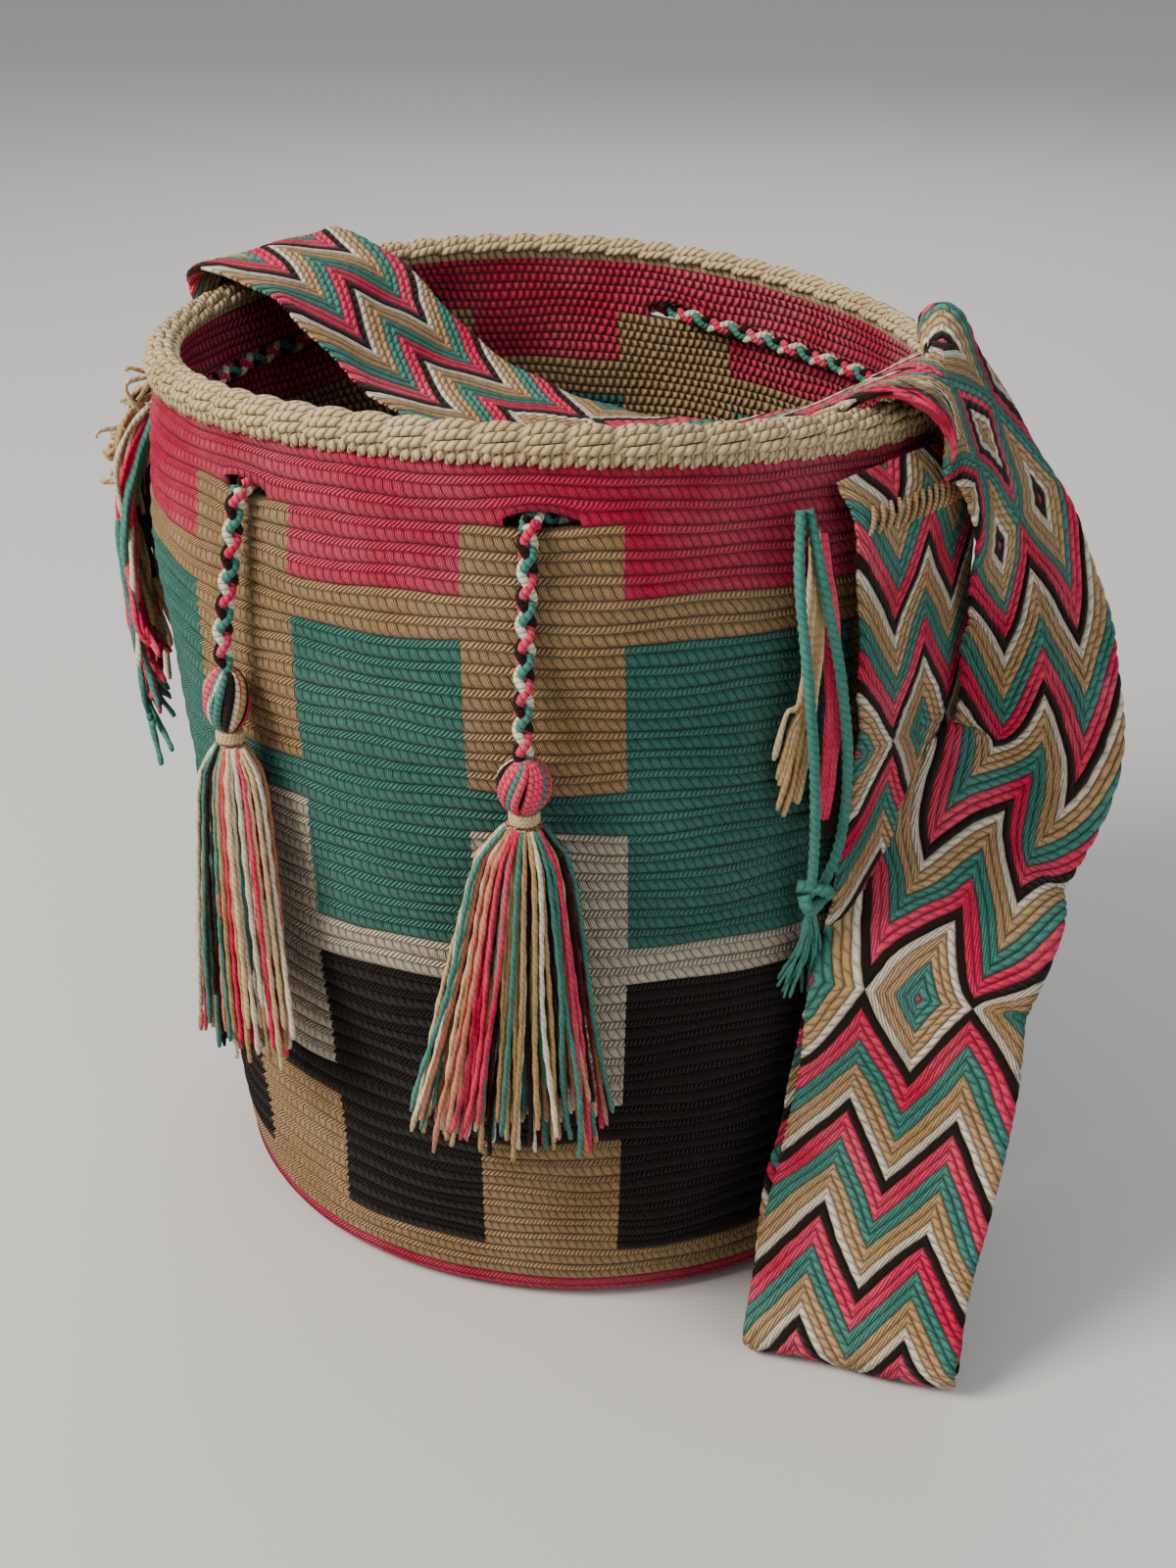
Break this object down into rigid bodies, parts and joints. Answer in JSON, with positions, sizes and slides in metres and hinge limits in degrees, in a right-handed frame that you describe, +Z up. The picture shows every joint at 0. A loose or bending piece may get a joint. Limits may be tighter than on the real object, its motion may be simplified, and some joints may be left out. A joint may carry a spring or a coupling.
{
  "type": "wayuu mochila bag",
  "caption": "Crocheted bucket bag with open mouth, scalloped rim edging, wide woven shoulder strap draped over the rim and a braided drawstring ending in tassels.",
  "frame": {"origin": "centre of the underside of the base, on the surface the bag stands on", "axes": "+Z up, -Y towards the front eyelet and its tassel, +X towards the side where the strap hangs to the floor"},
  "size_m": [0.3295, 0.3019, 0.3098],
  "materials": {
    "wall_yarn": "crocheted rows of plied yarn, matt",
    "edging_yarn": "crocheted scallops, matt",
    "strap_yarn": "woven plied yarn, matt",
    "sewing_yarn": "sewing yarn, matt",
    "fringe_yarn": "loose plied yarn, matt",
    "cord_yarn": "braided yarn, matt",
    "hanging_cord_yarn": "braided yarn, matt",
    "head_yarn": "wound yarn, matt",
    "binding_yarn": "wound yarn, matt",
    "skirt_yarn": "loose plied yarn, matt"
  },
  "bodies": {
    "bag": {"bag_body": "wall_yarn", "rim_edging": "edging_yarn", "strap": "strap_yarn", "strap_seam_left": "sewing_yarn", "strap_seam_right": "sewing_yarn", "strap_fringe_left": "fringe_yarn", "strap_fringe_right": "fringe_yarn", "drawstring": "cord_yarn"},
    "tassel_front": {"tassel_front_cord": "hanging_cord_yarn", "tassel_front_head": "head_yarn", "tassel_front_binding": "binding_yarn", "tassel_front_skirt": "skirt_yarn"},
    "tassel_left": {"tassel_left_cord": "hanging_cord_yarn", "tassel_left_head": "head_yarn", "tassel_left_binding": "binding_yarn", "tassel_left_skirt": "skirt_yarn"}
  },
  "joints": [
    {"name": "tassel_front_swing", "type": "hinge", "parent": "bag", "child": "tassel_front", "pos_m": [-0.01317, -0.12764, 0.27378], "axis": [-0.9991, 0.0431, 0], "range_deg": [0, 90]},
    {"name": "tassel_left_swing", "type": "hinge", "parent": "bag", "child": "tassel_left", "pos_m": [-0.09744, -0.09396, 0.27291], "axis": [-0.7483, 0.6634, 0], "range_deg": [0, 90]}
  ]
}
